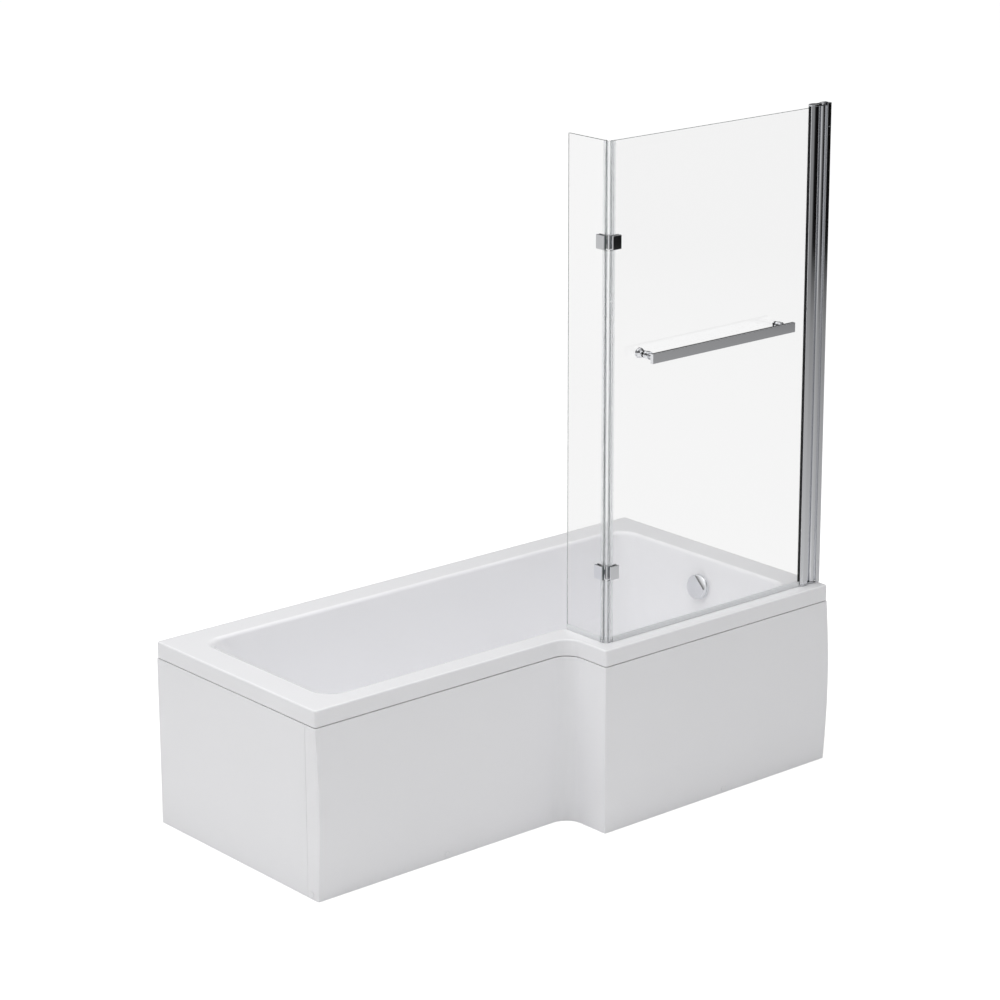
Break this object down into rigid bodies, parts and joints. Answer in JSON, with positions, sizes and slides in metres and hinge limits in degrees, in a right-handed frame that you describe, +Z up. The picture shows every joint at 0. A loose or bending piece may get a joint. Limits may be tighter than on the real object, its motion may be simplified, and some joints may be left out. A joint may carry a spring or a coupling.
{
  "type": "shower bath",
  "caption": "L-shaped acrylic shower bath with a bowed front panel, an end panel, a pop-up waste and a hinged glass screen with a towel rail.",
  "frame": {"origin": "middle of the base's bounding box, on the floor", "axes": "+X along the back wall towards the tap end, +Y from the front towards the back wall, +Z up"},
  "size_m": [1.7028, 0.862, 1.8953],
  "materials": {
    "acrylic": "polished",
    "glass_fibre": "raw",
    "chrome": "polished",
    "steel": "zinc plated",
    "clear_glass": "clear",
    "clear_pvc": "satin",
    "nylon": "matt",
    "board": "raw",
    "pipe_plastic": "matt",
    "rubber": "matt"
  },
  "bodies": {
    "bath": {"bath_shell": "acrylic", "fibre_mats": "glass_fibre", "base_board": "board", "rim_battens": "board", "front_panel": "acrylic", "end_panel": "acrylic", "floor_battens": "board", "panel_clips": "steel", "panel_screws": "steel", "panel_screw_caps": "acrylic", "head_cradle": "steel", "tap_cradle": "steel", "centre_bracket": "steel", "cradle_screws": "steel", "leg_nuts": "steel", "wall_hooks": "steel", "waste_flange": "chrome", "waste_washer": "rubber", "waste_body": "pipe_plastic", "trap_nut": "pipe_plastic", "trap_bend": "pipe_plastic", "overflow_plate": "chrome", "overflow_washer": "rubber", "overflow_body": "pipe_plastic", "overflow_hose": "pipe_plastic", "plug_cable": "nylon", "wall_profile": "chrome", "pivot_post": "chrome", "post_screws": "steel", "post_bushes": "nylon"},
    "screen": {"glass_profile": "chrome", "profile_top_cap": "chrome", "profile_bottom_cap": "chrome", "glass_gasket": "rubber", "main_glass": "clear_glass", "main_bottom_seal": "clear_pvc", "main_corner_seal": "clear_pvc", "main_hinge_leaves": "chrome", "main_hinge_gaskets": "rubber", "main_hinge_screws": "steel", "hinge_pins": "steel", "towel_bar": "chrome", "rail_posts": "chrome", "rail_knobs": "chrome", "rail_washers": "rubber"},
    "return_pane": {"return_glass": "clear_glass", "return_bottom_seal": "clear_pvc", "return_corner_seal": "clear_pvc", "return_hinge_leaves": "chrome", "return_hinge_gaskets": "rubber", "return_hinge_screws": "steel"},
    "knob": {"overflow_knob": "chrome"},
    "plug": {"pop_up_plug": "chrome", "plug_seal": "rubber"},
    "head back foot": {"head_back_foot": "steel"},
    "head front foot": {"head_front_foot": "steel"},
    "tap back foot": {"tap_back_foot": "steel"},
    "tap front foot": {"tap_front_foot": "steel"},
    "centre foot": {"centre_foot": "steel"}
  },
  "joints": [
    {"name": "screen_swing", "type": "hinge", "parent": "bath", "child": "screen", "pos_m": [0.8274, -0.374, 0.53], "axis": [0, 0, 1], "range_deg": [-75, 75]},
    {"name": "return_fold", "type": "hinge", "parent": "screen", "child": "return_pane", "pos_m": [0.0574, -0.365, 0.72], "axis": [0, 0, 1], "range_deg": [-80, 0]},
    {"name": "overflow_turn", "type": "hinge", "parent": "bath", "child": "knob", "pos_m": [0.7515, -0.004, 0.436], "axis": [-0.9937, 0, 0.1118], "range_deg": [0, 90]},
    {"name": "plug_lift", "type": "slide", "parent": "bath", "child": "plug", "axis": [0, 0, 1], "range_m": [0, 0.012]},
    {"name": "head_back_foot_screw", "type": "slide", "parent": "bath", "child": "head back foot", "axis": [0, 0, 1], "range_m": [0, 0.02]},
    {"name": "head_front_foot_screw", "type": "slide", "parent": "bath", "child": "head front foot", "axis": [0, 0, 1], "range_m": [0, 0.02]},
    {"name": "tap_back_foot_screw", "type": "slide", "parent": "bath", "child": "tap back foot", "axis": [0, 0, 1], "range_m": [0, 0.02]},
    {"name": "tap_front_foot_screw", "type": "slide", "parent": "bath", "child": "tap front foot", "axis": [0, 0, 1], "range_m": [0, 0.02]},
    {"name": "centre_foot_screw", "type": "slide", "parent": "bath", "child": "centre foot", "axis": [0, 0, 1], "range_m": [0, 0.02]}
  ],
  "couplings": [
    {"joint": "plug_lift", "follows": "overflow_turn", "m_per_rad": 0.007639}
  ]
}
